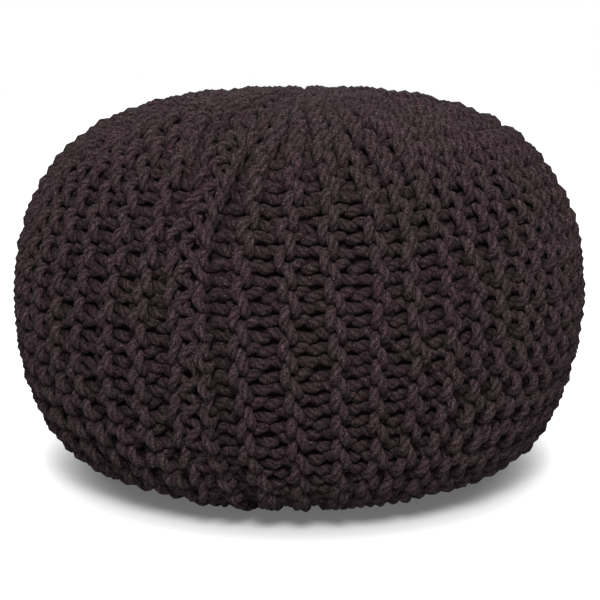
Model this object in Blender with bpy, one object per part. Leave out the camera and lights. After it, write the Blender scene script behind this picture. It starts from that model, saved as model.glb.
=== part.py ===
"""Round knitted pouf: a thick-yarn cover over a firm round filling, standing on its flat base.

Metres, +Z up. The origin is the middle of the base, and the front of the pouf faces -Y. The cover and
its filling are one padded solid: a full round belly, a soft shoulder, a nearly flat crown that is drawn
in to a small gather at the top, and a base that lies flat. The knitted rows run from base to crown as
shallow ribs, wide at the front, where the cover is stretched, and close together on the right.
"""

from collections import namedtuple
from math import cos, pi, radians, sin

import bmesh
import bpy
import numpy as np
from mathutils import Vector

# ---- driving dimensions, metres unless the name says otherwise ----
POUF_DIAMETER = 0.504
POUF_HEIGHT = 0.335
BASE_RADIUS = 0.140
GATHER_RADIUS = 0.020
GATHER_DEPTH = 0.012
LEAN_AT_TOP = 0.0022
LEAN_AT_BASE = -0.0026

RIB_COUNT = 52
RIB_DEPTH = 0.0065
DEEPEST_RIB_PER_WIDTH = 0.45
BASE_RIB_FADE_HEIGHT = 0.016
RIB_SECTION = (0.0, 0.3, 1.0, 0.3)

RING_COUNT = 23
CURVE_SAMPLES_PER_SPAN = 24

ProfilePoint = namedtuple("ProfilePoint", "radius height")
SIDE_PROFILE = (
    ProfilePoint(BASE_RADIUS, 0.0),
    ProfilePoint(0.1680, 0.0062),
    ProfilePoint(0.2096, 0.0265),
    ProfilePoint(0.2345, 0.0631),
    ProfilePoint(0.2485, 0.1136),
    ProfilePoint(POUF_DIAMETER / 2, 0.1575),
    ProfilePoint(0.2478, 0.2030),
    ProfilePoint(0.2312, 0.2509),
    ProfilePoint(0.1990, 0.2917),
    ProfilePoint(0.1542, 0.3172),
    ProfilePoint(0.1069, 0.3296),
    ProfilePoint(0.0638, 0.3345),
    ProfilePoint(0.0380, POUF_HEIGHT),
    ProfilePoint(GATHER_RADIUS, POUF_HEIGHT - 0.004),
)

RibWidth = namedtuple("RibWidth", "azimuth_deg width_deg")
RIB_WIDTHS = (
    RibWidth(-180.0, 7.35),
    RibWidth(-75.0, 7.20),
    RibWidth(-30.0, 6.50),
    RibWidth(-6.0, 7.90),
    RibWidth(10.0, 7.40),
    RibWidth(34.0, 5.60),
    RibWidth(62.0, 5.60),
    RibWidth(105.0, 7.00),
    RibWidth(180.0, 7.35),
)
FRONT_RIB_AZIMUTH_DEG = -2.1

YARN_COLOUR = (0.030, 0.019, 0.021, 1.0)
YARN_ROUGHNESS = 0.95
YARN_METALLIC = 0.0


def clear_scene():
    """Removes every object of the scene."""
    for old in list(bpy.data.objects):
        bpy.data.objects.remove(old, do_unlink=True)


def smooth_step(share):
    """Rises from 0 to 1 as share goes from 0 to 1, flat at both ends."""
    share = np.clip(share, 0.0, 1.0)
    return share * share * (3.0 - 2.0 * share)


def profile_rings():
    """Radius and height of each ring from the base edge to the gather, evenly spaced along the side."""
    knots = np.array(SIDE_PROFILE, float)
    before = 2 * knots[:1] - knots[1:2]
    after = 2 * knots[-1:] - knots[-2:-1]
    knots = np.concatenate([before, knots, after])
    curve = []
    for first in range(1, len(knots) - 2):
        p0, p1, p2, p3 = knots[first - 1 : first + 3]
        for step in range(CURVE_SAMPLES_PER_SPAN):
            t = step / CURVE_SAMPLES_PER_SPAN
            curve.append(
                0.5
                * (
                    2 * p1
                    + (p2 - p0) * t
                    + (2 * p0 - 5 * p1 + 4 * p2 - p3) * t**2
                    + (3 * p1 - p0 - 3 * p2 + p3) * t**3
                )
            )
    curve.append(knots[-2])
    curve = np.array(curve)
    along = np.concatenate([[0.0], np.cumsum(np.linalg.norm(np.diff(curve, axis=0), axis=1))])
    wanted = np.linspace(0.0, along[-1], RING_COUNT)
    radius = np.interp(wanted, along, curve[:, 0])
    height = np.interp(wanted, along, curve[:, 1])
    return list(zip(radius, np.clip(height, 0.0, POUF_HEIGHT)))


def rib_azimuths():
    """Azimuth in radians of every line along the ribs, one RIB_SECTION per rib, 0 at the front."""
    table = np.array(RIB_WIDTHS, float)
    azimuth = np.linspace(-180.0, 180.0, 1441)
    density = 1.0 / np.interp(azimuth, table[:, 0], table[:, 1])
    count = np.concatenate([[0.0], np.cumsum((density[1:] + density[:-1]) / 2 * np.diff(azimuth))])
    count *= RIB_COUNT / count[-1]
    front = np.interp(FRONT_RIB_AZIMUTH_DEG, azimuth, count)
    step = 1.0 / len(RIB_SECTION)
    wanted = (front + step * np.arange(RIB_COUNT * len(RIB_SECTION))) % RIB_COUNT
    return [radians(a) for a in np.interp(wanted, count, azimuth)]


def rib_depth(radius, height):
    """How far a valley lies below the crests here: nothing at the flat base, less in the gather."""
    above_base = smooth_step(height / BASE_RIB_FADE_HEIGHT)
    rib_width = 2.0 * pi * radius / RIB_COUNT
    return min(RIB_DEPTH, DEEPEST_RIB_PER_WIDTH * rib_width) * above_base


def surface_normal(rings, index):
    """Outward direction, radial and upward shares, of the profile at one ring."""
    low = rings[max(index - 1, 0)]
    high = rings[min(index + 1, len(rings) - 1)]
    run = Vector((high[0] - low[0], high[1] - low[1])).normalized()
    return run.y, -run.x


def lean(height):
    """Sideways shift of the middle of the pouf at this height."""
    share = height / POUF_HEIGHT
    return (LEAN_AT_BASE + (LEAN_AT_TOP - LEAN_AT_BASE) * share) * smooth_step(share * 4.0)


def yarn_material():
    """Dark brown knitting yarn, matt."""
    material = bpy.data.materials.new("knit_cover")
    material.use_nodes = True
    shader = material.node_tree.nodes["Principled BSDF"]
    shader.inputs["Base Color"].default_value = YARN_COLOUR
    shader.inputs["Roughness"].default_value = YARN_ROUGHNESS
    shader.inputs["Metallic"].default_value = YARN_METALLIC
    material.diffuse_color = YARN_COLOUR
    return material


def build_pouf():
    """The whole padded pouf as one closed solid."""
    rings = profile_rings()
    azimuths = rib_azimuths()
    mesh = bpy.data.meshes.new("knitted_pouf")
    work = bmesh.new()
    grid = []
    for index, (radius, height) in enumerate(rings):
        outward, upward = surface_normal(rings, index)
        depth = rib_depth(radius, height)
        row = []
        for side, azimuth in enumerate(azimuths):
            inset = depth * RIB_SECTION[side % len(RIB_SECTION)]
            r = radius - inset * outward
            z = max(height - inset * upward, 0.0)
            row.append(work.verts.new((r * sin(azimuth) + lean(z), -r * cos(azimuth), z)))
        grid.append(row)
    sides = len(azimuths)
    for lower, upper in zip(grid, grid[1:]):
        for side in range(sides):
            following = (side + 1) % sides
            work.faces.new((lower[side], lower[following], upper[following], upper[side]))
    base_middle = work.verts.new((0.0, 0.0, 0.0))
    gather_height = POUF_HEIGHT - GATHER_DEPTH
    gather_bottom = work.verts.new((lean(gather_height), 0.0, gather_height))
    for side in range(sides):
        following = (side + 1) % sides
        work.faces.new((grid[0][following], grid[0][side], base_middle))
        work.faces.new((grid[-1][side], grid[-1][following], gather_bottom))
    bmesh.ops.recalc_face_normals(work, faces=work.faces)
    for face in work.faces:
        face.smooth = True
    base_ring = set(grid[0])
    for edge in work.edges:
        edge.smooth = not base_ring.issuperset(edge.verts)
    work.to_mesh(mesh)
    work.free()
    mesh.materials.append(yarn_material())
    pouf = bpy.data.objects.new("knitted_pouf", mesh)
    bpy.context.scene.collection.objects.link(pouf)
    return pouf


def main():
    """Builds the pouf."""
    clear_scene()
    build_pouf()


main()
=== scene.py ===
"""Knitted pouf: a hand-knitted cover in thick dark brown yarn over a firm round filling.

The cover is one piece of garter stitch whose rows run from the base to the crown. Every row is a
real strand of yarn: it winds from loop to loop, passes in front of and behind its neighbours, and
rises to a rib on one side and sinks to a furrow on the other. A seam joins the first and the last
row, left of the middle. Geometry Nodes work out the loops and the strands from plain guide lines.
"""

import logging
import math
from collections.abc import Iterator
from dataclasses import dataclass, field
from enum import Enum
from typing import Any, NamedTuple

import bpy
import numpy as np
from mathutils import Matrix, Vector


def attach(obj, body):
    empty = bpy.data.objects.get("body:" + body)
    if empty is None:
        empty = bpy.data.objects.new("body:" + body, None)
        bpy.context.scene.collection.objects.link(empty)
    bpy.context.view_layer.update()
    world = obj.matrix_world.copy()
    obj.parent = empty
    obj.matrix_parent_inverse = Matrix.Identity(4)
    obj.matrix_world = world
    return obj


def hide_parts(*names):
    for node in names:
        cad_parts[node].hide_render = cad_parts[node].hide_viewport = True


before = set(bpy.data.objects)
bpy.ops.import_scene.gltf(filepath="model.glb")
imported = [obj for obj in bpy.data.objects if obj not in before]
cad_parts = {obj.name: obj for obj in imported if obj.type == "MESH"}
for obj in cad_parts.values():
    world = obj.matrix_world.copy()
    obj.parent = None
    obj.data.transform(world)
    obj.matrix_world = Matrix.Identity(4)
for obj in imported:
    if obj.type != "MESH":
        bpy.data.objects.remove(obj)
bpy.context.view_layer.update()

CAD_NODE = "knitted_pouf"
BODY = "root"
MM_PER_METRE = 1000

log = logging.getLogger("pouf")

# ---- The shape of the pouf ----


class ProfilePoint(NamedTuple):
    """One point of the outer side of the pouf, in metres."""

    radius: float
    height: float


class RibPath(NamedTuple):
    """How one rib runs up the pouf, the ribs being counted from the right edge of the seam.

    Its azimuth half way up in degrees, then at every one of PATH_LENGTHS how far it has turned from
    there in degrees, and how far its stitches are shifted up from the even pitch in millimetres.
    """

    rib: float
    azimuth_deg: float
    turn_deg: tuple[float, ...]
    shift_mm: tuple[float, ...]


class Sag(NamedTuple):
    """How far the ribs hang below the furrows at one length along the side, in metres."""

    length: float
    drop: float


class Wave(NamedTuple):
    """One wave of the ribs' wander: its strength, and its radians per metre and per rib."""

    strength: float
    per_metre: float
    per_rib: float

    def at(self, length: np.ndarray, rib: float) -> np.ndarray:
        """The wave at each length along a rib."""
        return self.strength * np.sin(self.per_metre * length + self.per_rib * rib)


PATH_LENGTHS = (0.08, 0.12, 0.16, 0.20, 0.25, 0.30, 0.34, 0.37, 0.40, 0.45)
BACK_TURN = (0.0, 0.0, 0.0, 0.0, 0.0, 0.0, -0.5, -1.5, -3.0, -5.0)
BACK_SHIFT = (-3.0, -2.0, -1.0, 0.0, 0.0, 1.5, 5.0, 9.0, 15.0, 25.0)
RIB_PATHS = (
    RibPath(0, -16.6, (3.3, 1.7, 1.2, 1.2, 0.0, 0.1, 1.8, 2.8, 4.1, 4.5),
            (-7.0, -8.7, -9.7, -5.9, -3.0, 3.7, 8.0, 6.5, 10.7, 20.7)),
    RibPath(1, -10.2, (3.5, 1.4, 1.2, 0.0, 0.0, 0.3, 0.8, 1.1, 3.0, 3.0),
            (-7.8, -6.5, -4.8, -3.2, -1.5, 2.2, 5.6, 9.9, 16.6, 26.6)),
    RibPath(2, -1.8, (2.5, 2.4, 1.6, 0.2, 0.0, -0.8, 0.2, 0.0, 0.6, 0.7),
            (-2.8, -1.7, -1.5, -2.1, -1.0, 0.3, 3.8, 9.1, 14.9, 24.3)),
    RibPath(3, 6.0, (2.3, 2.3, 1.5, 1.1, 0.0, -1.0, -0.1, -0.9, -1.1, -1.2),
            (-1.5, -0.5, 0.4, -0.1, -1.5, 0.5, 6.9, 14.6, 20.4, 30.4)),
    RibPath(4, 14.4, (-0.4, 0.8, -0.1, -0.5, 0.0, -0.7, -0.7, -2.9, -3.9, -4.2),
            (-3.6, -1.5, 1.6, 0.2, -1.9, 0.9, 5.4, 12.6, 20.3, 30.3)),
    RibPath(5, 20.2, (-1.2, 1.1, 1.0, 1.5, 0.0, -0.1, -0.8, -1.5, -2.8, -3.8),
            (-4.2, -3.5, -2.0, 0.1, -0.9, 1.8, 10.1, 18.3, 25.3, 34.8)),
    RibPath(6, 27.4, (-1.8, -0.4, 0.4, 1.0, 0.0, -0.6, -2.1, -2.2, -3.4, -4.9),
            (-6.3, -4.6, -0.2, 0.6, -0.8, 3.2, 11.5, 17.9, 26.4, 35.9)),
    RibPath(7, 33.6, (-2.7, -1.1, 0.5, 0.2, 0.0, -1.0, -2.8, -3.6, -5.9, -7.4),
            (-14.1, -9.6, -4.2, -1.1, 0.4, 4.5, 13.8, 18.9, 24.4, 34.4)),
    RibPath(8, 39.4, (-3.5, -1.9, 0.5, 0.0, 0.0, -0.6, -2.7, -3.6, -6.1, -8.1),
            (-18.3, -14.3, -8.0, -3.1, 0.2, 5.6, 12.8, 18.5, 25.1, 35.1)),
    RibPath(9, 45.8, (-4.6, -3.4, 0.0, -0.3, 0.0, -1.5, -3.9, -4.9, -7.6, -9.6),
            (-16.4, -13.2, -6.2, -1.6, 1.8, 7.8, 13.3, 18.7, 24.6, 34.1)),
    RibPath(10, 50.3, (-3.0, -1.5, 1.1, 0.6, 0.0, 0.6, -1.5, -3.8, -6.3, -8.3),
            (-27.5, -20.5, -12.9, -6.5, 1.3, 7.2, 11.9, 16.9, 22.9, 32.9)),
    RibPath(11, 56.9, (-3.5, -2.0, 0.6, 0.5, 0.0, 0.7, -2.2, -4.6, -7.1, -9.1),
            (-26.0, -18.0, -13.1, -7.5, 2.3, 10.0, 16.5, 20.0, 26.0, 36.0)),
    RibPath(12, 62.5, (-3.3, -1.7, 0.0, 1.1, 0.0, 0.3, -1.7, -4.2, -6.7, -8.7),
            (-26.0, -18.0, -13.0, -7.5, 2.0, 10.0, 16.5, 21.0, 27.0, 37.0)),
    RibPath(20, 116.9, BACK_TURN, BACK_SHIFT),
    RibPath(38, 240.0, BACK_TURN, BACK_SHIFT),
    RibPath(46, 293.1, (4.0, 2.5, 0.2, -0.2, 0.0, 1.9, 0.9, 1.9, 2.4, 1.9),
            (-1.0, 0.0, 0.0, 1.0, 1.5, 4.0, 9.0, 14.0, 20.0, 30.0)),
    RibPath(47, 301.2, (3.5, 2.1, -0.3, 0.3, 0.0, 0.6, 1.0, 1.9, 1.1, 0.1),
            (-0.5, 0.8, 0.4, 1.3, 1.6, 5.5, 11.5, 17.0, 23.0, 33.0)),
    RibPath(48, 309.0, (3.2, 1.8, -0.8, -1.0, 0.0, 0.3, -0.6, 0.2, -1.8, -3.4),
            (-4.0, -2.3, -0.9, 0.1, -0.5, 1.5, 8.2, 11.5, 16.5, 26.5)),
    RibPath(49, 316.4, (3.1, 2.0, -1.5, -1.7, 0.0, 0.4, -0.3, -1.1, -1.7, -4.1),
            (-0.1, 1.7, 3.0, 4.0, 6.1, 3.4, 8.4, 14.4, 21.4, 31.4)),
    RibPath(50, 324.0, (2.4, 0.9, -1.1, -0.6, 0.0, 0.9, 0.0, -1.1, -1.1, -3.5),
            (8.7, 10.7, 9.8, 8.9, 8.0, 6.8, 9.8, 14.1, 19.6, 29.6)),
    RibPath(51, 331.3, (3.0, 0.2, -0.9, -0.8, 0.0, 0.9, 0.7, 0.7, -2.4, -5.6),
            (6.0, 6.1, 10.8, 12.8, 12.2, 13.4, 15.7, 17.0, 20.0, 30.0)),
    RibPath(52, 336.6, (2.1, 1.2, -0.1, 0.8, 0.0, -0.8, 1.4, 1.1, -1.6, -2.6),
            (1.4, -0.4, 2.7, 7.1, 7.7, 14.1, 18.2, 16.7, 14.9, 24.9)),
)

UNDERSIDE_POINTS = (
    (0.0120, 0.0080), (0.0300, 0.0005), (0.0700, 0.0), (0.1100, 0.0),
)
SIDE_POINTS = (
    (0.1400, 0.0), (0.1680, 0.0062), (0.2096, 0.0265), (0.2345, 0.0631),
    (0.2485, 0.1136), (0.2520, 0.1575), (0.2478, 0.2030), (0.2312, 0.2509),
    (0.1990, 0.2917), (0.1542, 0.3172), (0.1069, 0.3296), (0.0638, 0.3345),
    (0.0380, 0.3350), (0.0220, 0.3310), (0.0125, 0.3220), (0.0080, 0.3100),
)


@dataclass(frozen=True)
class ProfileSample:
    """The outer side read at many lengths: an array for each size, in metres or unit vectors."""

    radius: np.ndarray
    height: np.ndarray
    tangent_out: np.ndarray
    tangent_up: np.ndarray
    drawn_in_radius: float = 0.060
    drawn_in_power: float = 0.6

    def tightness(self) -> np.ndarray:
        """The share of its thickness that the yarn keeps where it is drawn in at the middle."""
        return np.clip(self.radius / self.drawn_in_radius, 0.0, 1.0) ** self.drawn_in_power


@dataclass
class PoufProfile:
    """The outer side of the pouf as one smooth curve from under the base to the crown's gather."""

    underside: tuple[ProfilePoint, ...] = tuple(map(ProfilePoint._make, UNDERSIDE_POINTS))
    side: tuple[ProfilePoint, ...] = tuple(map(ProfilePoint._make, SIDE_POINTS))
    samples_per_span: int = 24
    tangent_smoothing_rounds: int = 6
    lean_at_base: float = -0.0026
    lean_at_top: float = 0.0022
    lean_settled_share: float = 0.25
    points: np.ndarray = field(init=False)
    lengths: np.ndarray = field(init=False)
    tangents: np.ndarray = field(init=False)
    side_start: float = field(init=False)

    def __post_init__(self) -> None:
        """Works out the smooth curve, its lengths and its tangents."""
        knots = np.array(self.underside + self.side, float)
        before = 2 * knots[:1] - knots[1:2]
        after = 2 * knots[-1:] - knots[-2:-1]
        knots = np.concatenate([before, knots, after])
        curve = []
        for first in range(1, len(knots) - 2):
            p0, p1, p2, p3 = knots[first - 1 : first + 3]
            t = np.arange(self.samples_per_span)[:, None] / self.samples_per_span
            bend = 2 * p0 - 5 * p1 + 4 * p2 - p3
            twist = 3 * p1 - p0 - 3 * p2 + p3
            curve.append(0.5 * (2 * p1 + (p2 - p0) * t + bend * t**2 + twist * t**3))
        self.points = np.concatenate([*curve, knots[-2:-1]])
        self.points[:, 1] = np.maximum(self.points[:, 1], 0.0)
        steps = np.linalg.norm(np.diff(self.points, axis=0), axis=1)
        self.lengths = np.concatenate([[0.0], np.cumsum(steps)])
        self.side_start = float(self.lengths[len(self.underside) * self.samples_per_span])
        tangents = np.gradient(self.points, self.lengths, axis=0)
        for _ in range(self.tangent_smoothing_rounds):
            tangents[1:-1] = (tangents[:-2] + 2 * tangents[1:-1] + tangents[2:]) / 4
        self.tangents = tangents / np.linalg.norm(tangents, axis=1)[:, None]

    @property
    def full_length(self) -> float:
        """The length of the curve from the middle of the base to the gather."""
        return float(self.lengths[-1])

    def at(self, length: np.ndarray) -> ProfileSample:
        """Reads the curve.

        Args:
            length: lengths along the curve from its start under the base, in metres.

        Returns:
            The radius, height and upward tangent at each length.
        """
        columns = (*self.points.T, *self.tangents.T)
        return ProfileSample(*(np.interp(length, self.lengths, column) for column in columns))

    def above_foot(self, length: np.ndarray) -> ProfileSample:
        """Reads the curve at lengths that are counted from the foot of the pouf, in metres."""
        return self.at(length + self.side_start)

    def holds(self, length: np.ndarray) -> np.ndarray:
        """Tells at which lengths, counted from the foot, there is a curve."""
        return (length > -self.side_start) & (length < self.full_length - self.side_start)

    def lean(self, height: np.ndarray) -> np.ndarray:
        """Works out how far the pouf leans.

        Args:
            height: heights above the ground, in metres.

        Returns:
            The sideways shift of the pouf's middle at each height, in metres.
        """
        share = height / max(point.height for point in self.side)
        settled = smooth_step(share / self.lean_settled_share)
        return (self.lean_at_base + (self.lean_at_top - self.lean_at_base) * share) * settled


@dataclass(frozen=True)
class RibLayout:
    """Where the ribs and furrows of the knit lie around the pouf, and how long its stitches are."""

    paths: tuple[RibPath, ...] = RIB_PATHS
    pitch: float = 0.0212
    first_head: float = 0.2315
    sags: tuple[Sag, ...] = (
        Sag(0.04, 0.0020),
        Sag(0.08, 0.0060),
        Sag(0.13, 0.0068),
        Sag(0.18, 0.0062),
        Sag(0.22, 0.0042),
        Sag(0.27, 0.0022),
        Sag(0.34, 0.0),
    )
    wander_deg: float = 0.35
    wander_from: float = 13.0
    wander_to: float = 45.0
    wander_waves: tuple[Wave, ...] = (Wave(1.0, 11.0, 3.0), Wave(0.6, 27.0, -5.0))

    @property
    def ribs(self) -> int:
        """How many ribs the cover has, the seam counted as one."""
        return int(self.paths[-1].rib)

    def azimuth(self, rib: float, length: np.ndarray) -> np.ndarray:
        """The azimuth of a rib along the side.

        Args:
            rib: the rib counted from the seam, which may be a part of one.
            length: lengths along the side from the foot of the pouf, in metres.

        Returns:
            Its azimuth in radians at each length.
        """
        numbers = [path.rib for path in self.paths]
        middle = np.interp(rib, numbers, [path.azimuth_deg for path in self.paths])
        turn = self._between(rib, np.array([path.turn_deg for path in self.paths]))
        degrees = middle + flowing(length, np.array(PATH_LENGTHS), turn)
        if self.wander_from < rib < self.wander_to:
            waves = sum(wave.at(length, rib) for wave in self.wander_waves)
            degrees = degrees + self.wander_deg * waves
        return np.radians(degrees)

    def shift(self, rib: float, length: np.ndarray) -> np.ndarray:
        """How far the stitches of a rib are shifted up the side, in metres at each length."""
        shift = self._between(rib, np.array([path.shift_mm for path in self.paths]))
        return flowing(length, np.array(PATH_LENGTHS), shift) / MM_PER_METRE

    def sag(self, length: np.ndarray) -> np.ndarray:
        """How far the ribs hang below the furrows, in metres at each length."""
        lengths, drops = [sag.length for sag in self.sags], [sag.drop for sag in self.sags]
        return np.interp(length, lengths, drops)

    def _between(self, rib: float, table: np.ndarray) -> np.ndarray:
        """One line of a table with a line for each path, read at any rib."""
        numbers = np.array([path.rib for path in self.paths])
        return np.array([np.interp(rib, numbers, column) for column in table.T])


def smooth_step(share: np.ndarray) -> np.ndarray:
    """Rises from 0 to 1 as share goes from 0 to 1, flat at both ends."""
    share = np.clip(share, 0.0, 1.0)
    return share * share * (3.0 - 2.0 * share)


def flowing(places: np.ndarray, knots: np.ndarray, values: np.ndarray) -> np.ndarray:
    """A smooth curve through given values, level beyond both ends.

    Args:
        places: where to read it.
        knots: the places of the values, in rising order.
        values: one value for each knot.

    Returns:
        The curve's value at each place.
    """
    slopes = np.gradient(values, knots)
    slopes[0] = slopes[-1] = 0.0
    places = np.clip(places, knots[0], knots[-1])
    after = np.clip(np.searchsorted(knots, places), 1, len(knots) - 1)
    gap = knots[after] - knots[after - 1]
    share = (places - knots[after - 1]) / gap
    rise = smooth_step(share)
    leave = share * (1.0 - share) ** 2 * gap * slopes[after - 1]
    arrive = share**2 * (share - 1.0) * gap * slopes[after]
    return values[after - 1] * (1.0 - rise) + values[after] * rise + leave + arrive


# ---- Node trees ----


@dataclass(frozen=True)
class Value:
    """One output in a node tree, which plain arithmetic extends with Math nodes."""

    tree: bpy.types.NodeTree
    socket: bpy.types.NodeSocket

    def math(self, operation: str, *others: "Value | float") -> "Value":
        """The result of a Math node on this value and any others."""
        inputs = dict(enumerate((self, *others)))
        return TreeBuilder(self.tree).read("ShaderNodeMath", inputs, operation=operation)

    def __add__(self, other: "Value | float") -> "Value":
        """The sum."""
        return self.math("ADD", other)

    def __sub__(self, other: "Value | float") -> "Value":
        """The difference."""
        return self.math("SUBTRACT", other)

    def __mul__(self, other: "Value | float") -> "Value":
        """The product."""
        return self.math("MULTIPLY", other)

    def __neg__(self) -> "Value":
        """The negative."""
        return self.math("MULTIPLY", -1.0)

    def sine(self) -> "Value":
        """The sine of an angle in radians."""
        return self.math("SINE")

    def cosine(self) -> "Value":
        """The cosine of an angle in radians."""
        return self.math("COSINE")

    def inverse(self) -> "Value":
        """One divided by the value."""
        return self.math("POWER", -1.0)

    def times_vector(self, vector: "Value") -> "Value":
        """The vector, made this many times as long."""
        inputs = {0: vector, "Scale": self}
        return TreeBuilder(self.tree).read("ShaderNodeVectorMath", inputs, operation="SCALE")

    def plus_vector(self, other: "Value") -> "Value":
        """The sum of two vectors."""
        inputs = {0: self, 1: other}
        return TreeBuilder(self.tree).read("ShaderNodeVectorMath", inputs, operation="ADD")


Inputs = dict[str | int, Any]


@dataclass(frozen=True)
class TreeBuilder:
    """A node tree under construction."""

    tree: bpy.types.NodeTree

    def add(self, kind: str, inputs: Inputs | None = None, **settings: Any) -> bpy.types.Node:
        """Adds a node.

        Args:
            kind: the node's type.
            inputs: what feeds its inputs.
            settings: its properties by name.

        Returns:
            The node.
        """
        node = self.tree.nodes.new(kind)
        for name, setting in settings.items():
            setattr(node, name, setting)
        self.feed(node, inputs or {})
        return node

    def feed(self, node: bpy.types.Node, inputs: Inputs) -> None:
        """Feeds a node's inputs.

        Args:
            node: the node.
            inputs: for each input a value to link to it, or a plain number to set it to.
        """
        for name, source in inputs.items():
            if isinstance(source, Value):
                self.tree.links.new(source.socket, node.inputs[name])
            else:
                node.inputs[name].default_value = source

    def read(
        self, kind: str, inputs: Inputs | None = None, output: str | int = 0, **settings: Any
    ) -> Value:
        """Adds a node, as add does, and reads one of its outputs."""
        return Value(self.tree, self.add(kind, inputs, **settings).outputs[output])

    def outputs(self, node: bpy.types.Node) -> dict[str, Value]:
        """The outputs of a node by name."""
        return {socket.name: Value(self.tree, socket) for socket in node.outputs}

    def mix(self, first: Any, second: Any, share: Any, blend_type: str = "MIX") -> Value:
        """Mixes two colours.

        Args:
            first: the first colour.
            second: the second colour.
            share: how much of the second colour shows.
            blend_type: how it is laid over the first one.

        Returns:
            The mixed colour.
        """
        inputs = {"Factor": share, "A": first, "B": second}
        settings = {"data_type": "RGBA", "blend_type": blend_type}
        return self.read("ShaderNodeMix", inputs, "Result", **settings)


class Attribute(Enum):
    """The named attributes of the guide lines and of the finished yarn."""

    PHASE = "yarn_phase"
    REACH = "yarn_reach"
    DEPTH = "yarn_depth"
    SWING = "yarn_swing"
    FACE = "yarn_face"
    SINK = "yarn_sink"
    LEAN = "yarn_lean"
    BULGE = "yarn_bulge"
    OVER = "yarn_over"
    SAG = "yarn_sag"
    THICKNESS = "yarn_thickness"
    ALONG = "yarn_along"
    ACROSS = "yarn_across"
    OUTWARD = "yarn_outward"
    CREST = "yarn_crest"
    WAY = "yarn_way"
    RING = "yarn_ring"

    @property
    def kind(self) -> str:
        """The attribute's data type."""
        return "FLOAT_VECTOR" if self in VECTOR_ATTRIBUTES else "FLOAT"


VECTOR_ATTRIBUTES = (Attribute.ALONG, Attribute.ACROSS, Attribute.OUTWARD, Attribute.RING)
STRAND_ATTRIBUTES = (Attribute.WAY, Attribute.RING)
GUIDE_ATTRIBUTES = tuple(each for each in Attribute if each not in STRAND_ATTRIBUTES)


def place_object(name: str, data: bpy.types.ID) -> bpy.types.Object:
    """Puts a new object in the scene.

    Args:
        name: its name.
        data: its mesh, camera or light.

    Returns:
        The object.
    """
    made = bpy.data.objects.new(name, data)
    bpy.context.scene.collection.objects.link(made)
    return made


@dataclass(frozen=True)
class StrandSettings:
    """The sizes with which a tree turns guide lines into strands of yarn."""

    unevenness: float = 0.0020
    unevenness_scale: float = 46.0
    seed: float = 3.0
    sides: int = 7

    def inputs(self) -> dict[str, float]:
        """The sizes by the names of the tree's inputs."""
        labels = ("Unevenness", "Unevenness scale", "Seed", "Sides")
        return dict(zip(labels, (self.unevenness, self.unevenness_scale, self.seed, self.sides)))


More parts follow.
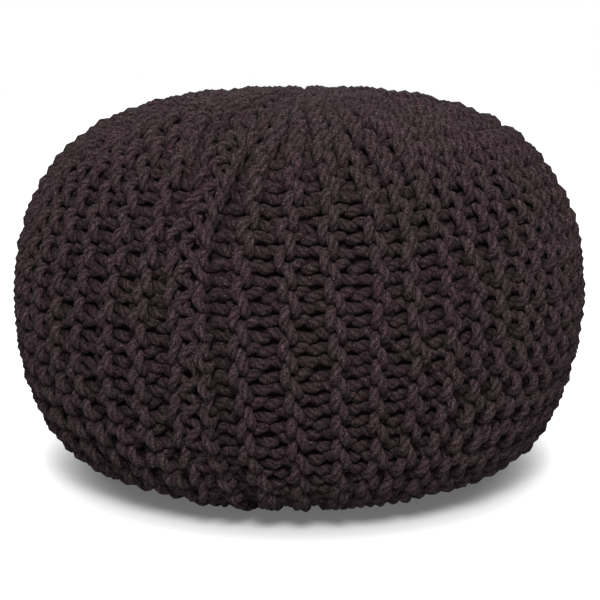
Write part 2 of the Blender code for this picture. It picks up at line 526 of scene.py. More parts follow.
class StrandTree:
    """The geometry tree that bends guide lines into knitted loops and gives them thickness."""

    INPUTS = {
        "Unevenness": "NodeSocketFloat",
        "Unevenness scale": "NodeSocketFloat",
        "Seed": "NodeSocketFloat",
        "Sides": "NodeSocketInt",
        "Yarn": "NodeSocketMaterial",
    }

    def __init__(self) -> None:
        """Gives the tree its named inputs and its output, and wires it."""
        self.tree = bpy.data.node_groups.new("Knitted strands", "GeometryNodeTree")
        self.tree.is_modifier = True
        self.build = TreeBuilder(self.tree)
        self.sockets: dict[str, str] = {}
        new = self.tree.interface.new_socket
        new("Guides", in_out="INPUT", socket_type="NodeSocketGeometry")
        for label, kind in self.INPUTS.items():
            self.sockets[label] = new(label, in_out="INPUT", socket_type=kind).identifier
        new("Strands", in_out="OUTPUT", socket_type="NodeSocketGeometry")
        self._wire()

    def _attribute(self, attribute: Attribute) -> Value:
        """Reads a named attribute of the guides."""
        kind, inputs = "GeometryNodeInputNamedAttribute", {"Name": attribute.value}
        return self.build.read(kind, inputs, "Attribute", data_type=attribute.kind)

    def _store(self, attribute: Attribute, geometry: Value, value: Value) -> Value:
        """Stores a value on the points of a geometry.

        Args:
            attribute: the named attribute to store it as.
            geometry: the geometry.
            value: the value.

        Returns:
            The geometry with the attribute.
        """
        inputs = {"Geometry": geometry, "Name": attribute.value, "Value": value}
        settings = {"data_type": attribute.kind, "domain": "POINT"}
        return self.build.read("GeometryNodeStoreNamedAttribute", inputs, **settings)

    def _loop_offset(self) -> Value:
        """Adds the nodes of the knitted loops.

        Returns:
            How far each point of a guide moves to lie on its loop.
        """
        read = self._attribute
        phase, face = read(Attribute.PHASE), read(Attribute.FACE)
        swing = read(Attribute.SWING) * phase.sine() * phase.sine()
        over = -(face * read(Attribute.OVER) * (phase * 3.0).cosine())
        loop = -(read(Attribute.REACH) * (phase + read(Attribute.LEAN)).cosine())
        across = loop - over * face * swing.sine()
        rise = -(face * read(Attribute.DEPTH) * (phase.cosine() * (math.pi / 2)).sine())
        outward = rise + over * swing.cosine() - read(Attribute.SINK)
        along = (phase * 2.0).sine() * read(Attribute.BULGE)
        along = along + face * phase.cosine() * read(Attribute.SAG)
        return (
            along.times_vector(read(Attribute.ALONG))
            .plus_vector(across.times_vector(read(Attribute.ACROSS)))
            .plus_vector(outward.times_vector(read(Attribute.OUTWARD)))
        )

    def _uneven_offset(self, given: dict[str, Value]) -> Value:
        """A small stray of every loop, as in knitting by hand.

        Args:
            given: the tree's inputs.

        Returns:
            The offset vector.
        """
        inputs = {"Scale": given["Unevenness scale"], "W": given["Seed"], "Detail": 0.0}
        noise = self.build.read("ShaderNodeTexNoise", inputs, "Color", noise_dimensions="4D")
        inputs = {0: noise, 1: (0.5, 0.5, 0.5)}
        centred = self.build.read("ShaderNodeVectorMath", inputs, operation="SUBTRACT")
        return (given["Unevenness"] * 2.0).times_vector(centred)

    def _above_ground(self) -> Value:
        """Adds the nodes that press the strands flat where they would reach below the base.

        Returns:
            The place of each point.
        """
        here = self.build.read("GeometryNodeInputPosition")
        parts = self.build.outputs(self.build.add("ShaderNodeSeparateXYZ", {0: here}))
        parts["Z"] = parts["Z"].math("MAXIMUM", 0.0)
        return self.build.read("ShaderNodeCombineXYZ", parts)

    def _wire(self) -> None:
        """Joins the nodes: loops, strands, attributes, smooth shading, material."""
        read = self.build.read
        given = self.build.outputs(self.build.add("NodeGroupInput"))
        offset = self._loop_offset().plus_vector(self._uneven_offset(given))
        inputs = {"Geometry": given["Guides"], "Offset": offset}
        bent = read("GeometryNodeSetPosition", inputs)
        lines = read("GeometryNodeMeshToCurve", {"Mesh": bent})
        way = read("GeometryNodeSplineParameter", output="Length")
        inputs = {"Radius": 1.0, "Resolution": given["Sides"]}
        circle = read("GeometryNodeCurvePrimitiveCircle", inputs)
        ring = self._store(Attribute.RING, circle, read("GeometryNodeInputPosition"))
        inputs = {
            "Curve": self._store(Attribute.WAY, lines, way),
            "Profile Curve": ring,
            "Scale": self._attribute(Attribute.THICKNESS),
            "Fill Caps": True,
        }
        tube = read("GeometryNodeCurveToMesh", inputs)
        inputs = {"Geometry": tube, "Position": self._above_ground()}
        rest = read("GeometryNodeSetPosition", inputs)
        smooth = read("GeometryNodeSetShadeSmooth", {"Geometry": rest})
        real = read("GeometryNodeRealizeInstances", {"Geometry": smooth})
        dressed = read("GeometryNodeSetMaterial", {"Geometry": real, "Material": given["Yarn"]})
        self.build.add("NodeGroupOutput", {"Strands": dressed})

    def strands(
        self, name: str, guides: bpy.types.Mesh, settings: StrandSettings, yarn: bpy.types.Material
    ) -> bpy.types.Object:
        """Turns guide lines into strands of yarn.

        Args:
            name: the piece's name.
            guides: the guide lines with their attributes.
            settings: the sizes of the loops and of the strand.
            yarn: the strand's material.

        Returns:
            The strands as one plain mesh object.
        """
        guide = place_object(f"{name}_guides", guides)
        modifier = guide.modifiers.new("strands", "NODES")
        modifier.node_group = self.tree
        for label, setting in {**settings.inputs(), "Yarn": yarn}.items():
            modifier[self.sockets[label]] = setting
        view = bpy.context.evaluated_depsgraph_get()
        mesh = bpy.data.meshes.new_from_object(guide.evaluated_get(view), depsgraph=view)
        mesh.name = name
        for attribute in GUIDE_ATTRIBUTES:
            extra = mesh.attributes.get(attribute.value)
            # The crest stays on the mesh as the mask of the yarn's painted shade.
            if extra is not None and attribute is not Attribute.CREST:
                mesh.attributes.remove(extra)
        bpy.data.objects.remove(guide)
        bpy.data.meshes.remove(guides)
        return place_object(name, mesh)


@dataclass
class GuideLines:
    """Open lines with attributes, gathered until they become one mesh."""

    columns: dict[Attribute, list[np.ndarray]] = field(
        default_factory=lambda: {attribute: [] for attribute in GUIDE_ATTRIBUTES}
    )
    places: list[np.ndarray] = field(default_factory=list)

    def add(self, places: np.ndarray, values: dict[Attribute, np.ndarray]) -> None:
        """Adds one line.

        Args:
            places: its points, in metres.
            values: every guide attribute at each of its points.
        """
        self.places.append(places)
        for attribute, column in self.columns.items():
            column.append(values[attribute])

    def mesh(self, name: str) -> bpy.types.Mesh:
        """Makes the mesh of all the lines.

        Args:
            name: the mesh's name.

        Returns:
            A mesh of edges with the guide attributes on its points.
        """
        mesh = bpy.data.meshes.new(name)
        points = np.concatenate(self.places)
        line_number = np.repeat(np.arange(len(self.places)), [len(line) for line in self.places])
        start = np.flatnonzero(line_number[:-1] == line_number[1:])
        edges = np.stack([start, start + 1], axis=1)
        mesh.vertices.add(len(points))
        mesh.vertices.foreach_set("co", points.astype(np.float32).ravel())
        mesh.edges.add(len(edges))
        mesh.edges.foreach_set("vertices", edges.astype(np.int32).ravel())
        for attribute, column in self.columns.items():
            data = mesh.attributes.new(attribute.value, attribute.kind, "POINT").data
            values = np.concatenate(column).astype(np.float32).ravel()
            data.foreach_set("vector" if attribute in VECTOR_ATTRIBUTES else "value", values)
        mesh.update()
        return mesh


@dataclass(frozen=True)
class Guide:
    """One guide line on the outer side of the pouf, with everything that shapes its strand.

    The arrays hold a value for each point: angles in radians, lengths in metres. No point counts
    as further from a rib than the least crest says. The least run keeps its slope finite.
    """

    azimuth: np.ndarray
    side: ProfileSample
    phase: np.ndarray
    face: float
    reach: np.ndarray
    depth: np.ndarray
    sink: np.ndarray
    lean: np.ndarray
    bulge: np.ndarray
    over: np.ndarray
    sag: np.ndarray
    thickness: np.ndarray
    swing_share: float = 0.6
    least_crest: float = 0.0
    least_run: float = 1e-6

    def add_to(self, lines: GuideLines, profile: PoufProfile) -> None:
        """Adds the line to others.

        Args:
            lines: the lines to add it to.
            profile: the outer side that it lies on.
        """
        sine, cosine = np.sin(self.azimuth), np.cos(self.azimuth)
        radius, height = self.side.radius, self.side.height
        shift = profile.lean(height)
        places = np.stack([radius * sine + shift, -radius * cosine, height], axis=1)
        out, up = self.side.tangent_out, self.side.tangent_up
        level = np.stack([cosine, sine, np.zeros_like(sine)], axis=1)
        meridian = np.stack([out * sine, -out * cosine, up], axis=1)
        turn = np.gradient(self.azimuth) * radius
        run = np.sqrt(np.gradient(radius) ** 2 + np.gradient(height) ** 2) + self.least_run
        skew = np.arctan2(turn, run)[:, None]
        values = {
            Attribute.FACE: np.full_like(self.phase, self.face),
            Attribute.SWING: self.swing_share * np.arctan(self.depth * (math.pi / 2) / self.reach),
            Attribute.CREST: np.maximum(crest_share(self.face, self.phase), self.least_crest),
            Attribute.ALONG: np.cos(skew) * meridian + np.sin(skew) * level,
            Attribute.ACROSS: np.cos(skew) * level - np.sin(skew) * meridian,
            Attribute.OUTWARD: np.stack([up * sine, -up * cosine, -out], axis=1),
        }
        for attribute in GUIDE_ATTRIBUTES:
            if attribute not in values:
                values[attribute] = getattr(self, attribute.name.lower())
        lines.add(places, values)


def crest_share(face: float, phase: np.ndarray) -> np.ndarray:
    """How near each point of a row is to its rib: 1 there and 0 at its furrow."""
    return (1.0 - face * np.cos(phase)) / 2


# ---- Finishes ----


class ShaderGroup:
    """A shader node group with named inputs and outputs."""

    def __init__(self, name: str, inputs: dict[str, str], outputs: dict[str, str]) -> None:
        """Starts the group.

        Args:
            name: its name.
            inputs: socket types by name.
            outputs: socket types by name.
        """
        self.tree = bpy.data.node_groups.new(name, "ShaderNodeTree")
        self.build = TreeBuilder(self.tree)
        for direction, sockets in (("INPUT", inputs), ("OUTPUT", outputs)):
            for label, kind in sockets.items():
                self.tree.interface.new_socket(label, in_out=direction, socket_type=kind)
        self.given = self.build.outputs(self.build.add("NodeGroupInput"))


class YarnFibres(ShaderGroup):
    """The surface of a soft plied yarn: its twisted plies with painted shade in the grooves between
    them, its fibres, and its pale flecks, which are partly painted glints.
    """

    NUMBERS = ("Plies", "Twist length", "Radius", "Fibre size", "Fleck size")
    PLY_ROUNDNESS = 0.7
    FIBRE_STRETCH = 0.22
    FLECK_STRETCH = 0.75
    NOISE_DETAIL = 2.0
    FIBRE_ROUGHNESS = 0.6
    FLECK_ROUGHNESS = 0.5
    FLECK_RANGE = {"From Min": 0.52, "From Max": 0.74}
    PLY_HEIGHT = 0.35
    FIBRE_HEIGHT = 0.65

    def __init__(self) -> None:
        """Builds the group."""
        outputs = ("Height", "Furrow", "Fleck")
        kind = "NodeSocketFloat"
        super().__init__(
            "Yarn fibres", dict.fromkeys(self.NUMBERS, kind), dict.fromkeys(outputs, kind)
        )
        read, given = self.build.read, self.given
        kind = "ShaderNodeAttribute"
        ring = read(kind, output="Vector", attribute_name=Attribute.RING.value)
        way = read(kind, output="Fac", attribute_name=Attribute.WAY.value)
        parts = self.build.outputs(self.build.add("ShaderNodeSeparateXYZ", {0: ring}))
        turn = way.math("DIVIDE", given["Twist length"]) * math.tau
        twisted = parts["Y"].math("ARCTAN2", parts["X"]) - turn
        ply = (twisted * given["Plies"]).cosine()
        rounded = (ply * 0.5 + 0.5).math("POWER", self.PLY_ROUNDNESS)
        fibre = self._noise(twisted, way * self.FIBRE_STRETCH, "Fibre size", self.FIBRE_ROUGHNESS)
        fleck = self._noise(twisted, way * self.FLECK_STRETCH, "Fleck size", self.FLECK_ROUGHNESS)
        inputs = {"Value": fleck, **self.FLECK_RANGE}
        results = {
            "Height": rounded * self.PLY_HEIGHT + fibre * self.FIBRE_HEIGHT,
            # Painted shade: the furrow output is low in the grooves between the plies, where the
            # yarn is darkened.
            "Furrow": rounded,
            "Fleck": read(
                "ShaderNodeMapRange", inputs, "Result", interpolation_type="SMOOTHSTEP"
            ),
        }
        self.build.add("NodeGroupOutput", results)

    def _noise(self, twisted: Value, way: Value, size: str, roughness: float) -> Value:
        """Noise that is wound round the strand with its plies.

        Args:
            twisted: the angle round the strand from the nearest ply, in radians.
            way: the length along the strand.
            size: the name of the input with the noise's size.
            roughness: how strong the noise's finer detail is.

        Returns:
            The noise.
        """
        radius = self.given["Radius"]
        parts = {"X": twisted.cosine() * radius, "Y": twisted.sine() * radius, "Z": way}
        inputs = {
            "Vector": self.build.read("ShaderNodeCombineXYZ", parts),
            "Scale": self.given[size].inverse(),
            "Detail": self.NOISE_DETAIL,
            "Roughness": roughness,
        }
        return self.build.read("ShaderNodeTexNoise", inputs, "Fac")


class DyeVariation(ShaderGroup):
    """Slow changes of a dyed colour over the pouf, between two shades."""

    NUMBERS = ("Shade", "Other shade", "Patch size")
    NOISE_DETAIL = 3.0
    NOISE_RANGE = {"From Min": 0.35, "From Max": 0.65}

    def __init__(self) -> None:
        """Builds the group."""
        colour = "NodeSocketColor"
        kinds = (colour, colour, "NodeSocketFloat")
        super().__init__("Dye variation", dict(zip(self.NUMBERS, kinds)), {"Color": colour})
        read, given = self.build.read, self.given
        place = read("ShaderNodeTexCoord", output="Object")
        scale = given["Patch size"].inverse()
        inputs = {"Vector": place, "Scale": scale, "Detail": self.NOISE_DETAIL}
        patch = read("ShaderNodeTexNoise", inputs, "Fac")
        share = read("ShaderNodeMapRange", {"Value": patch, **self.NOISE_RANGE}, "Result")
        dyed = self.build.mix(given["Shade"], given["Other shade"], share)
        self.build.add("NodeGroupOutput", {"Color": dyed})


Colour = tuple[float, float, float, float]


@dataclass(frozen=True)
class Finish:
    """What every finish has: a name, a plain shade, and how rough and how glossy it is."""

    name: str
    shade: Colour
    roughness: float
    specular: float

    def start(self) -> tuple[bpy.types.Material, TreeBuilder, bpy.types.Node]:
        """Makes a material with these values.

        Returns:
            The material, its tree and its shader.
        """
        material = bpy.data.materials.new(self.name)
        material.use_nodes = True
        material.diffuse_color = self.shade
        build = TreeBuilder(material.node_tree)
        shader = material.node_tree.nodes["Principled BSDF"]
        inputs = {"Roughness": self.roughness, "Specular IOR Level": self.specular}
        build.feed(shader, inputs)
        return material, build, shader


@dataclass(frozen=True)
class DyedFinish(Finish):
    """A finish in a colour that changes slowly between two shades."""

    other_shade: Colour
    patch_size: float

    def dyed(self, build: TreeBuilder, dye: DyeVariation) -> Value:
        """The colour, from the node group of its slow changes."""
        sizes = (self.shade, self.other_shade, self.patch_size)
        return build.read("ShaderNodeGroup", dict(zip(dye.NUMBERS, sizes)), node_tree=dye.tree)


@dataclass(frozen=True)
class YarnFinish(DyedFinish):
    """The dyed yarn, soft and matt with a faint bloom of loose fibres.

    The stops of painted shade darken the yarn's colour by how much light would reach it, from its
    furrow (0) to its rib (1). Their tint, as a power, takes a little more green and blue than red
    from what the painted shade darkens.
    """

    name: str = "dark_brown_yarn"
    shade: Colour = (0.0290, 0.0150, 0.0206, 1.0)
    roughness: float = 0.86
    specular: float = 0.10
    other_shade: Colour = (0.0278, 0.0188, 0.0170, 1.0)
    patch_size: float = 0.045
    # Painted shade: the dark colour of the grooves between the plies.
    painted_ply_groove_shade: Colour = (0.0046, 0.0024, 0.0029, 1.0)
    # Pale fibre flecks, partly painted glints of light on the fibres.
    fleck_and_glint_shade: Colour = (0.1400, 0.0900, 0.1020, 1.0)
    # Painted shade: this tint and the stops below darken the yarn where little light would reach.
    painted_shade_tint: float = 1.12
    painted_shade_stops: tuple[tuple[float, float], ...] = (
        (0.00, 0.24),
        (0.12, 0.46),
        (0.26, 0.76),
        (0.45, 0.74),
        (0.62, 0.44),
        (0.74, 0.38),
        (0.86, 0.80),
        (0.93, 1.00),
    )
    plies: float = 4.0
    twist_length: float = 0.026
    radius: float = 0.0034
    fibre_size: float = 0.0008
    fleck_size: float = 0.0006
    sheen: float = 0.02
    sheen_roughness: float = 0.45
    sheen_tint: Colour = (0.85, 0.72, 0.76, 1.0)
    bump_distance: float = 0.0013
    bump_strength: float = 0.75

    def _painted_crest_shade(self, build: TreeBuilder) -> Value:
        """Painted shade: how much light would reach each place of the yarn, read from its crest.

        Args:
            build: the material's tree.

        Returns:
            The painted light and shade as a colour.
        """
        crest = build.read(
            "ShaderNodeAttribute", output="Fac", attribute_name=Attribute.CREST.value
        )
        ramp = build.add("ShaderNodeValToRGB", {"Fac": crest})
        stops = ramp.color_ramp.elements
        while len(stops) < len(self.painted_shade_stops):
            stops.new(1.0)
        for stop, (place, light) in zip(stops, self.painted_shade_stops):
            stop.position = place
            cooler = light**self.painted_shade_tint
            stop.color = (light, cooler, cooler, 1.0)
        return build.outputs(ramp)["Color"]

    def material(self, fibres: YarnFibres, dye: DyeVariation) -> bpy.types.Material:
        """Makes the yarn's material.

        Args:
            fibres: the node group of the yarn's surface.
            dye: the node group of its slow colour changes.

        Returns:
            The material.
        """
        material, build, shader = self.start()
        sizes = (self.plies, self.twist_length, self.radius, self.fibre_size, self.fleck_size)
        inputs = dict(zip(fibres.NUMBERS, sizes))
        surface = build.outputs(build.add("ShaderNodeGroup", inputs, node_tree=fibres.tree))
        # Painted shade in the grooves between the plies.
        shaded = build.mix(self.painted_ply_groove_shade, self.dyed(build, dye), surface["Furrow"])
        # Pale fibre flecks that are partly painted glints.
        flecked = build.mix(shaded, self.fleck_and_glint_shade, surface["Fleck"])
        bump = {
            "Distance": self.bump_distance,
            "Strength": self.bump_strength,
            "Height": surface["Height"],
        }
        look = {
            # Painted shade: the colour is darkened in the yarn's furrows and dips, by its crest.
            "Base Color": build.mix(flecked, self._painted_crest_shade(build), 1.0, "MULTIPLY"),
            "Normal": build.read("ShaderNodeBump", bump, "Normal"),
            "Sheen Weight": self.sheen,
            "Sheen Roughness": self.sheen_roughness,
            "Sheen Tint": self.sheen_tint,
        }
        build.feed(shader, look)
        return material


@dataclass(frozen=True)
class FillingFinish(DyedFinish):
    """The filling's cloth, dark as painted shade: it shows only as shadow between the strands."""

    name: str = "dark_filling_cloth"
    # Painted shade: a dark colour that stands for the shadow between the strands.
    shade: Colour = (0.0130, 0.0064, 0.0080, 1.0)
    roughness: float = 0.95
    specular: float = 0.1
    other_shade: Colour = (0.0110, 0.0055, 0.0068, 1.0)
    patch_size: float = 0.02
    weave_size: float = 0.0012
    bump_distance: float = 0.0003

    def material(self, dye: DyeVariation) -> bpy.types.Material:
        """Makes the filling cloth's material.

        Args:
            dye: the node group of its slow colour changes.

        Returns:
            The material.
        """
        material, build, shader = self.start()
        place = build.read("ShaderNodeTexCoord", output="Object")
        inputs = {"Vector": place, "Scale": 1.0 / self.weave_size}
        weave = build.read("ShaderNodeTexNoise", inputs, "Fac")
        inputs = {"Distance": self.bump_distance, "Height": weave}
        bump = build.read("ShaderNodeBump", inputs, "Normal")
        build.feed(shader, {"Base Color": self.dyed(build, dye), "Normal": bump})
        return material


@dataclass(frozen=True)
class FloorFinish(Finish):
    """A plain pale studio floor that glows round the pouf as a lit sweep does: painted light, a
    glow that only the camera sees, weaker under the pouf, where it lightens the shadow.
    """

    name: str = "pale_floor"
    shade: Colour = (0.5, 0.5, 0.5, 1.0)
    roughness: float = 0.9
    specular: float = 0.1
    glow_shade: Colour = (1.0, 1.0, 1.0, 1.0)
    glow: float = 1.0
    least_glow: float = 0.12
    glow_from: float = 0.17
    glow_full: float = 0.27

    def material(self) -> bpy.types.Material:
        """Makes the floor's material.

        Returns:
            The material.
        """
        material, build, shader = self.start()
        place = build.read("ShaderNodeTexCoord", output="Object")
        inputs = {
            "Value": build.read("ShaderNodeVectorMath", {0: place}, "Value", operation="LENGTH"),
            "From Min": self.glow_from,
            "From Max": self.glow_full,
            "To Min": self.least_glow,
            "To Max": self.glow,
        }
        kind = "ShaderNodeMapRange"
        painted_glow = build.read(kind, inputs, "Result", interpolation_type="SMOOTHSTEP")
        look = {
            "Base Color": self.shade,
            "Emission Color": self.glow_shade,
            # Painted light: a glow seen only by the camera, which lights nothing.
            "Emission Strength": build.read("ShaderNodeLightPath", output="Is Camera Ray") * painted_glow,
        }
        build.feed(shader, look)
        return material


# ---- The knitted cover ----


class RowFace(Enum):
    """Which side of its row the rib lies on, as the sign of its azimuth."""

    RIB_ON_THE_RIGHT = 1.0
    RIB_ON_THE_LEFT = -1.0


@dataclass(frozen=True)
class KnitRow:
    """One row of the cover: a strand between a rib and the furrow beside it.

    The ribs are counted from the seam. The lean turns the loops on the rib. The rows at the edges
    of the knit lie lower than the others, below the yarn of the seam.
    """

    number: int
    rib: float
    furrow: float
    face: RowFace
    rib_lean: float
    at_edge: bool


@dataclass(frozen=True)
class HandKnitting:
    """How far single stitches stray from the even pattern."""

    along: float = 0.0009
    across: float = 0.0005
    sink: float = 0.0008
    reach_share: float = 0.05
    thickness_share: float = 0.05
    lean: float = 0.08
    crown_gain: float = 2.6
    crown_start: float = 0.345
    crown_full: float = 0.42

    def strays(self, row: int, stitch: np.ndarray, channel: int) -> np.ndarray:
        """Random strays that change smoothly from stitch to stitch.

        Args:
            row: the row's number.
            stitch: where along the row, counted in stitches.
            channel: tells apart the sizes that stray.

        Returns:
            A number of about -1 to 1 at each place.
        """
        random = np.random.default_rng((row, channel))
        first = math.floor(float(stitch.min())) - 1
        count = math.ceil(float(stitch.max())) - first + 2
        return flowing(stitch, first + np.arange(count) * 1.0, random.uniform(-1.0, 1.0, count))

    def gain(self, length: np.ndarray) -> np.ndarray:
        """How much stronger the strays are at each length along the side."""
        share = (length - self.crown_start) / (self.crown_full - self.crown_start)
        return 1.0 + (self.crown_gain - 1.0) * smooth_step(share)


@dataclass
class KnittedCover:
    """The cover: garter stitch in thick yarn, in gores of neighbouring rows.

    The factors and the crown's swell are given at the height marks, which are lengths along the
    side. The swell is the yarn's thickness at the crest marks, from the furrow to the rib.
    """

    profile: PoufProfile
    layout: RibLayout
    tree: StrandTree
    settings: StrandSettings = StrandSettings()
    hand: HandKnitting = HandKnitting()
    name: str = "knit_gore"
    gores: int = 6
    turning_phases: tuple[float, ...] = (0.0, 0.28, 0.58, 0.90, 1.30)
    crest_marks: tuple[float, ...] = (0.0, 0.20, 0.50, 0.80, 1.0)
    swell: tuple[float, ...] = (0.58, 1.18, 1.38, 1.06, 1.17)
    rib_overlap: float = 0.0038
    furrow_overlap: float = 0.0022
    most_overlap_share: float = 0.32
    half_loop: float = 0.0148
    depth_share: float = 0.57
    greatest_depth: float = 0.0070
    rib_bulge: float = 0.0050
    furrow_bulge: float = 0.0036
    rib_over: float = 0.0043
    furrow_over: float = 0.0044
    right_of_rib_lean: float = 0.35
    left_of_rib_lean: float = 0.15
    furrow_lean: float = 0.35
    edge_lean: float = 0.0
    edge_sink: float = 0.0030
    height_marks: tuple[float, ...] = (0.03, 0.08, 0.13, 0.34, 0.37, 0.40, 0.45)
    depth_factors: tuple[float, ...] = (0.35, 0.50, 1.0, 0.95, 0.95, 1.0, 0.85)
    over_factors: tuple[float, ...] = (0.60, 0.70, 1.0, 1.0, 1.05, 1.15, 1.0)
    crown_swell: tuple[float, ...] = (1.0, 1.0, 1.0, 1.0, 1.08, 1.20, 1.15)
    yarn_radius: float = 0.0034
    bunched_yarn_gain: float = 0.0006
    bunched_width: float = 0.0180

    def rows(self) -> Iterator[KnitRow]:
        """Names the rows in order around the pouf.

        Returns:
            The rows, from the right edge of the seam to its left edge.
        """
        for rib in range(self.layout.ribs):
            edge = rib == 0
            lean = self.edge_lean if edge else self.left_of_rib_lean
            yield KnitRow(2 * rib, rib, rib + 0.5, RowFace.RIB_ON_THE_LEFT, lean, edge)
            edge = rib == self.layout.ribs - 1
            lean = self.edge_lean if edge else self.right_of_rib_lean
            yield KnitRow(2 * rib + 1, rib + 1, rib + 0.5, RowFace.RIB_ON_THE_RIGHT, lean, edge)

    def _stitches(self) -> np.ndarray:
        """Spreads the points of a row, closest together where the loops turn.

        Returns:
            Where they lie, counted in stitches.
        """
        quarter = np.array(self.turning_phases)
        half = np.concatenate([quarter, math.pi - quarter[:0:-1]])
        whole = np.concatenate([half, math.pi + half]) / math.tau
        most = math.ceil(self.profile.full_length / self.layout.pitch)
        return (np.arange(-most, most)[:, None] + whole[None, :]).ravel()

    def _lay(self, row: KnitRow, lines: GuideLines) -> None:
        """Adds the guide line of one row.

        Args:
            row: the row.
            lines: the lines to add it to.
        """
        layout, hand, face = self.layout, self.hand, row.face.value
        middle = (row.rib + row.furrow) / 2
        stitch = self._stitches()
        even = layout.first_head + layout.pitch * stitch
        length = even + layout.shift(middle, even)
        keep = self.profile.holds(length)
        stitch, length = stitch[keep], length[keep]
        gain = hand.gain(length)

        def stray(channel: int) -> np.ndarray:
            """The strays of one size of this row."""
            return hand.strays(row.number, stitch, channel) * gain

        def at_height(values: tuple[float, ...]) -> np.ndarray:
            """Values given at the height marks, read along the row."""
            return np.interp(length, self.height_marks, values)

        side = self.profile.above_foot(length + hand.along * stray(0))
        width = layout.azimuth(row.rib, length) - layout.azimuth(row.furrow, length)
        width = side.radius * abs(width)
        rib_overlap = np.minimum(self.rib_overlap, self.most_overlap_share * width)
        furrow_overlap = np.minimum(self.furrow_overlap, self.most_overlap_share * width)
        reach = (width + rib_overlap + furrow_overlap) / 2
        reach = reach * (1.0 + hand.reach_share * stray(1))
        depth = self.depth_share * np.sqrt(np.maximum(self.half_loop**2 - reach**2, 0.0))
        depth = np.minimum(depth, self.greatest_depth) * at_height(self.depth_factors)
        bunched = 1.0 - np.clip(width / self.bunched_width, 0.0, 1.0)
        thickness = (self.yarn_radius + self.bunched_yarn_gain * bunched) * side.tightness()
        thickness = thickness * (1.0 + hand.thickness_share * hand.strays(row.number, stitch, 2))
        thickness = thickness * at_height(self.crown_swell)
        phase = stitch * math.tau + math.pi
        crest = crest_share(face, phase)
        on_rib = smooth_step(crest)
        lean = self.furrow_lean + (row.rib_lean - self.furrow_lean) * on_rib
        over = self.furrow_over + (self.rib_over - self.furrow_over) * on_rib
        over_factor = at_height(self.over_factors)
        bulge = self.furrow_bulge + (self.rib_bulge - self.furrow_bulge) * on_rib
        below = depth + self.rib_over * over_factor + thickness * self.swell[-1]
        towards_rib = face * (rib_overlap - furrow_overlap) / 2 + hand.across * stray(4)
        guide = Guide(
            azimuth=layout.azimuth(middle, length) + towards_rib / side.radius,
            side=side,
            phase=phase,
            face=face,
            reach=reach,
            depth=depth,
            sink=below + hand.sink * (1.0 + stray(3)) + row.at_edge * self.edge_sink,
            lean=lean + hand.lean * stray(5),
            bulge=bulge * (np.gradient(length, stitch) / layout.pitch),
            over=over * over_factor,
            sag=layout.sag(length) / 2,
            thickness=thickness * np.interp(crest, self.crest_marks, self.swell),
        )
        guide.add_to(lines, self.profile)

    def build(self, yarn: bpy.types.Material) -> list[bpy.types.Object]:
        """Knits the cover.

        Args:
            yarn: the yarn's material.

        Returns:
            The gores.
        """
        rows = list(self.rows())
        per_gore = math.ceil(len(rows) / self.gores)
        pieces = []
        for number in range(self.gores):
            lines = GuideLines()
            for row in rows[number * per_gore : (number + 1) * per_gore]:
                self._lay(row, lines)
            name = f"{self.name}_{number + 1}"
            pieces.append(self.tree.strands(name, lines.mesh(name), self.settings, yarn))
        return pieces


class SeamStrand(NamedTuple):
    """One strand of the seam.

    It lies at a share of the gap from its left edge, reaches to both sides of there, and rises and
    sinks about its mean depth. The start says where in a stitch it begins.
    """

    share_of_gap: float
    reach: float
    rise: float
    sink: float
    lean: float
    start: float
    radius: float


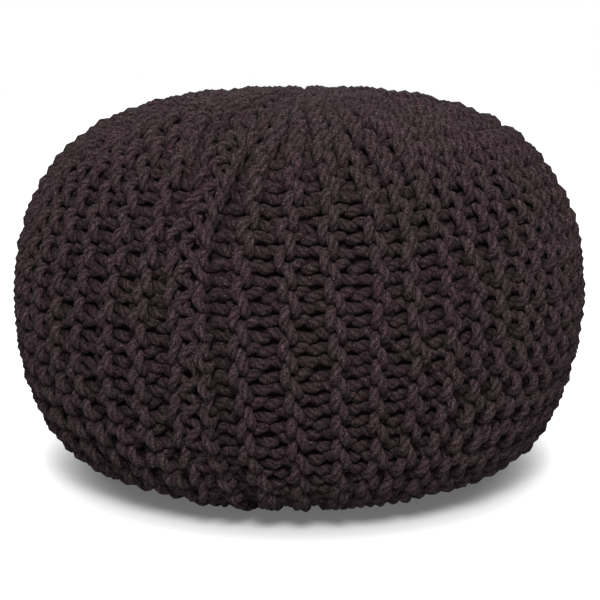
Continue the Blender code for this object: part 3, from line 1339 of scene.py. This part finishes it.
@dataclass
class SeamYarn:
    """The yarn that joins the first row to the last: a chain on each edge, strands to and fro."""

    profile: PoufProfile
    layout: RibLayout
    tree: StrandTree
    settings: StrandSettings = StrandSettings(unevenness_scale=60.0)
    hand: HandKnitting = HandKnitting(along=0.0022, sink=0.0014, reach_share=0.26, lean=0.3)
    name: str = "seam_yarn"
    points_per_stitch: int = 16
    strands: tuple[SeamStrand, ...] = (
        SeamStrand(0.10, 0.0012, 0.0044, 0.0076, math.pi / 2, 0.67, 0.0036),
        SeamStrand(0.88, 0.0024, 0.0044, 0.0076, -math.pi / 2, 0.95, 0.0035),
        SeamStrand(0.47, 0.0044, 0.0022, 0.0096, 0.5, 0.45, 0.0036),
        SeamStrand(0.28, 0.0040, 0.0, 0.0130, 0.0, 0.95, 0.0036),
        SeamStrand(0.70, 0.0040, 0.0, 0.0136, 0.0, 0.20, 0.0036),
    )
    full_gap: float = 0.0250
    least_gap_share: float = 0.1
    most_gap_share: float = 1.2
    # The seam's strands keep a high crest, so the painted shade leaves them light.
    least_crest: float = 0.90
    row_number: int = 900

    def _lay(self, number: int, strand: SeamStrand, lines: GuideLines) -> None:
        """Adds the guide line of one strand.

        Args:
            number: tells the strand's strays from those of others.
            strand: the strand.
            lines: the lines to add it to.
        """
        layout, hand = self.layout, self.hand
        most = math.ceil(self.profile.full_length / layout.pitch * self.points_per_stitch)
        stitch = np.arange(-most, most + 1) / self.points_per_stitch
        even = layout.first_head + layout.pitch * (stitch + strand.start)
        shift_left, shift_right = layout.shift(layout.ribs, even), layout.shift(0, even)
        length = even + shift_left + (shift_right - shift_left) * (strand.share_of_gap >= 0.5)
        length = length + hand.along * hand.strays(number, stitch, 0)
        keep = self.profile.holds(length)
        stitch, length = stitch[keep], length[keep]
        side = self.profile.above_foot(length)
        right = layout.azimuth(0, length)
        left = layout.azimuth(layout.ribs, length) - math.tau
        gap_share = side.radius * (right - left) / self.full_gap
        reach = strand.reach * np.clip(gap_share, self.least_gap_share, self.most_gap_share)
        level = np.zeros_like(length)
        guide = Guide(
            azimuth=left + (right - left) * strand.share_of_gap,
            side=side,
            phase=stitch * math.tau,
            face=-1.0,
            reach=reach * (1.0 + hand.reach_share * hand.strays(number, stitch, 1)),
            depth=level + strand.rise,
            sink=strand.sink + hand.sink * hand.strays(number, stitch, 2),
            lean=strand.lean + hand.lean * hand.strays(number, stitch, 3),
            bulge=level,
            over=level,
            sag=level,
            thickness=strand.radius * side.tightness(),
            swing_share=0.0,
            least_crest=self.least_crest,
        )
        guide.add_to(lines, self.profile)

    def build(self, yarn: bpy.types.Material) -> bpy.types.Object:
        """Lays the strands along the whole seam.

        Args:
            yarn: the yarn's material.

        Returns:
            The piece.
        """
        lines = GuideLines()
        for number, strand in enumerate(self.strands):
            self._lay(self.row_number + number, strand, lines)
        return self.tree.strands(self.name, lines.mesh(self.name), self.settings, yarn)


@dataclass
class Filling:
    """The filled inner form that carries the cover, a little smaller all round."""

    profile: PoufProfile
    name: str = "filling"
    inset: float = 0.0185
    least_radius: float = 0.0005
    rings: int = 60
    sides: int = 128
    fill: float = 0.9

    def build(self, cloth: bpy.types.Material) -> bpy.types.Object:
        """Makes the closed form.

        Args:
            cloth: its material.

        Returns:
            The piece.
        """
        side = self.profile.at(np.linspace(0.0, self.profile.full_length, self.rings))
        azimuth = np.arange(self.sides) * math.tau / self.sides
        radius = np.maximum(side.radius - self.inset * side.tangent_up, self.least_radius)
        height = side.height + self.inset * side.tangent_out
        places = [(0.0, 0.0, float(height[0]))]
        for r, z in zip(radius, height):
            places += [(r * math.sin(a), -r * math.cos(a), float(z)) for a in azimuth]
        places.append((0.0, 0.0, float(height[-1])))
        firsts = [1 + ring * self.sides for ring in range(self.rings)]
        faces: list[tuple[int, ...]] = []
        for here in range(self.sides):
            there = (here + 1) % self.sides
            faces.append((0, 1 + there, 1 + here))
            for low, high in zip(firsts, firsts[1:]):
                faces.append((low + here, low + there, high + there, high + here))
            faces.append((firsts[-1] + here, firsts[-1] + there, len(places) - 1))
        mesh = bpy.data.meshes.new(self.name)
        mesh.from_pydata(places, [], faces)
        mesh.shade_smooth()
        mesh.materials.append(cloth)
        return place_object(self.name, mesh)


# ---- The studio ----


class SoftBox(NamedTuple):
    """One soft area light that faces the pouf."""

    name: str
    place: tuple[float, float, float]
    width: float
    power: float


@dataclass
class Studio:
    """Camera, floor and light."""

    picture_size: int = 600
    focal_pixels: float = 1397.0
    sensor_width: float = 36.0
    elevation_deg: float = 10.0
    distance: float = 1.25
    aim_height: float = 0.1675
    aim_pixel: tuple[float, float] = (299.0, 276.5)
    floor_size: float = 14.0
    world_light: float = 0.12
    backdrop: float = 1.0
    backdrop_shade: Colour = (1.0, 1.0, 1.0, 1.0)
    lights: tuple[SoftBox, ...] = (
        SoftBox("key", (0.0, -1.8, 1.7), 0.7, 68.0),
        SoftBox("front", (0.1, -2.3, 0.7), 0.7, 6.0),
        SoftBox("back", (0.0, 2.0, 1.5), 1.2, 16.0),
        SoftBox("top", (0.2, 0.2, 2.2), 1.6, 6.5),
    )

    def camera(self) -> None:
        """Makes the camera at the photograph's viewing angle."""
        data = bpy.data.cameras.new("camera")
        data.sensor_width = self.sensor_width
        data.lens = self.focal_pixels / self.picture_size * self.sensor_width
        middle = self.picture_size / 2
        data.shift_x = (middle - self.aim_pixel[0]) / self.picture_size
        data.shift_y = (self.aim_pixel[1] - middle) / self.picture_size
        camera = place_object("camera", data)
        elevation = math.radians(self.elevation_deg)
        above = self.aim_height + self.distance * math.sin(elevation)
        camera.location = (0.0, -self.distance * math.cos(elevation), above)
        camera.rotation_euler = (math.pi / 2 - elevation, 0.0, 0.0)
        bpy.context.scene.camera = camera

    def floor(self) -> bpy.types.Object:
        """Makes the floor.

        Returns:
            The floor.
        """
        half = self.floor_size / 2
        corners = [(-half, -half, 0.0), (half, -half, 0.0), (half, half, 0.0), (-half, half, 0.0)]
        mesh = bpy.data.meshes.new("floor")
        mesh.from_pydata(corners, [], [(0, 1, 2, 3)])
        mesh.materials.append(FloorFinish().material())
        return place_object("floor", mesh)

    def light(self) -> None:
        """Makes the pale surroundings and the soft lights."""
        world = bpy.data.worlds.new("studio")
        world.use_nodes = True
        build = TreeBuilder(world.node_tree)
        seen = build.read("ShaderNodeLightPath", output="Is Camera Ray")
        strength = seen * (self.backdrop - self.world_light) + self.world_light
        background = world.node_tree.nodes["Background"]
        build.feed(background, {"Color": self.backdrop_shade, "Strength": strength})
        bpy.context.scene.world = world
        aim = Vector((0.0, 0.0, self.aim_height))
        for box in self.lights:
            data = bpy.data.lights.new(box.name, "AREA")
            data.size = box.width
            data.energy = box.power
            light = place_object(box.name, data)
            light.location = box.place
            light.rotation_euler = (aim - light.location).to_track_quat("-Z", "Y").to_euler()

    def build(self) -> None:
        """Builds the studio."""
        self.camera()
        self.floor()
        self.light()
        bpy.context.scene.view_settings.view_transform = "Standard"


def hand_over(piece: bpy.types.Object) -> None:
    """Hangs a piece on the body it rides on, hides the CAD part it stands for, and logs its faces.

    Args:
        piece: the piece.
    """
    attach(piece, BODY)
    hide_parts(CAD_NODE)
    log.info("%s: %d faces", piece.name, len(piece.data.polygons))


def main() -> None:
    """Builds the pouf and its studio."""
    logging.basicConfig(level=logging.INFO, format="%(name)s: %(message)s")
    Studio().build()
    fibres = YarnFibres()
    dye = DyeVariation()
    profile = PoufProfile()
    cover = KnittedCover(profile, RibLayout(), StrandTree())
    yarn = YarnFinish().material(fibres, dye)
    for gore in cover.build(yarn):
        hand_over(gore)
    hand_over(SeamYarn(profile, cover.layout, cover.tree).build(yarn))
    filling = Filling(profile)
    form = filling.build(FillingFinish().material(dye))
    hand_over(form)


if __name__ == "__main__":
    main()
